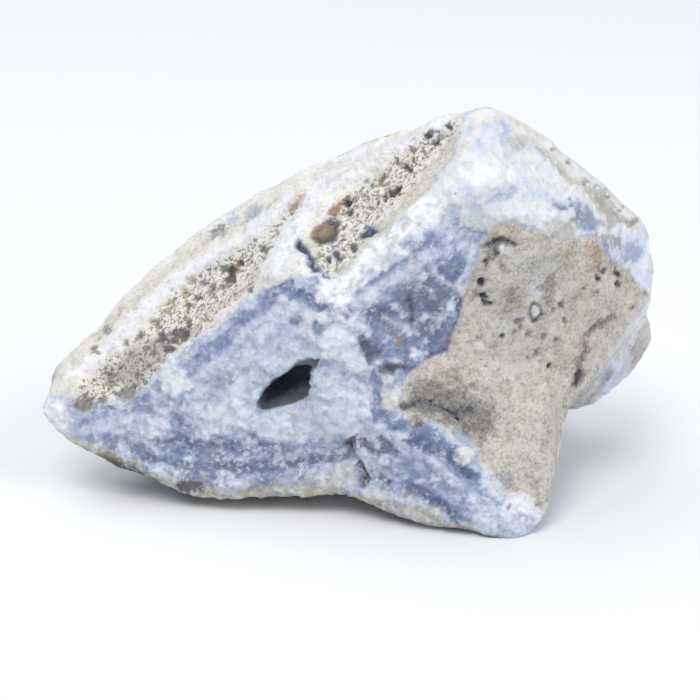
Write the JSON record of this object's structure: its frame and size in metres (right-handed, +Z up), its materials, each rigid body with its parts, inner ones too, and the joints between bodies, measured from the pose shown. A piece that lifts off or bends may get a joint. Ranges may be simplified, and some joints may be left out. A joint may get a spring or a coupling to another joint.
{
  "type": "rough blue chalcedony",
  "caption": "Rough lump of banded blue chalcedony with a pitted rind, a patch of host rock and a small open hollow, resting on the flat places of its underside.",
  "frame": {"origin": "on the floor, under the middle of the lump's box", "axes": "+X along the lump from its pointed end to its tall end, +Y away from the broken face, +Z up"},
  "size_m": [0.1024, 0.0578, 0.0649],
  "materials": {
    "chalcedony": "rough"
  },
  "bodies": {
    "root": {"chalcedony_stone": "chalcedony"}
  },
  "joints": []
}
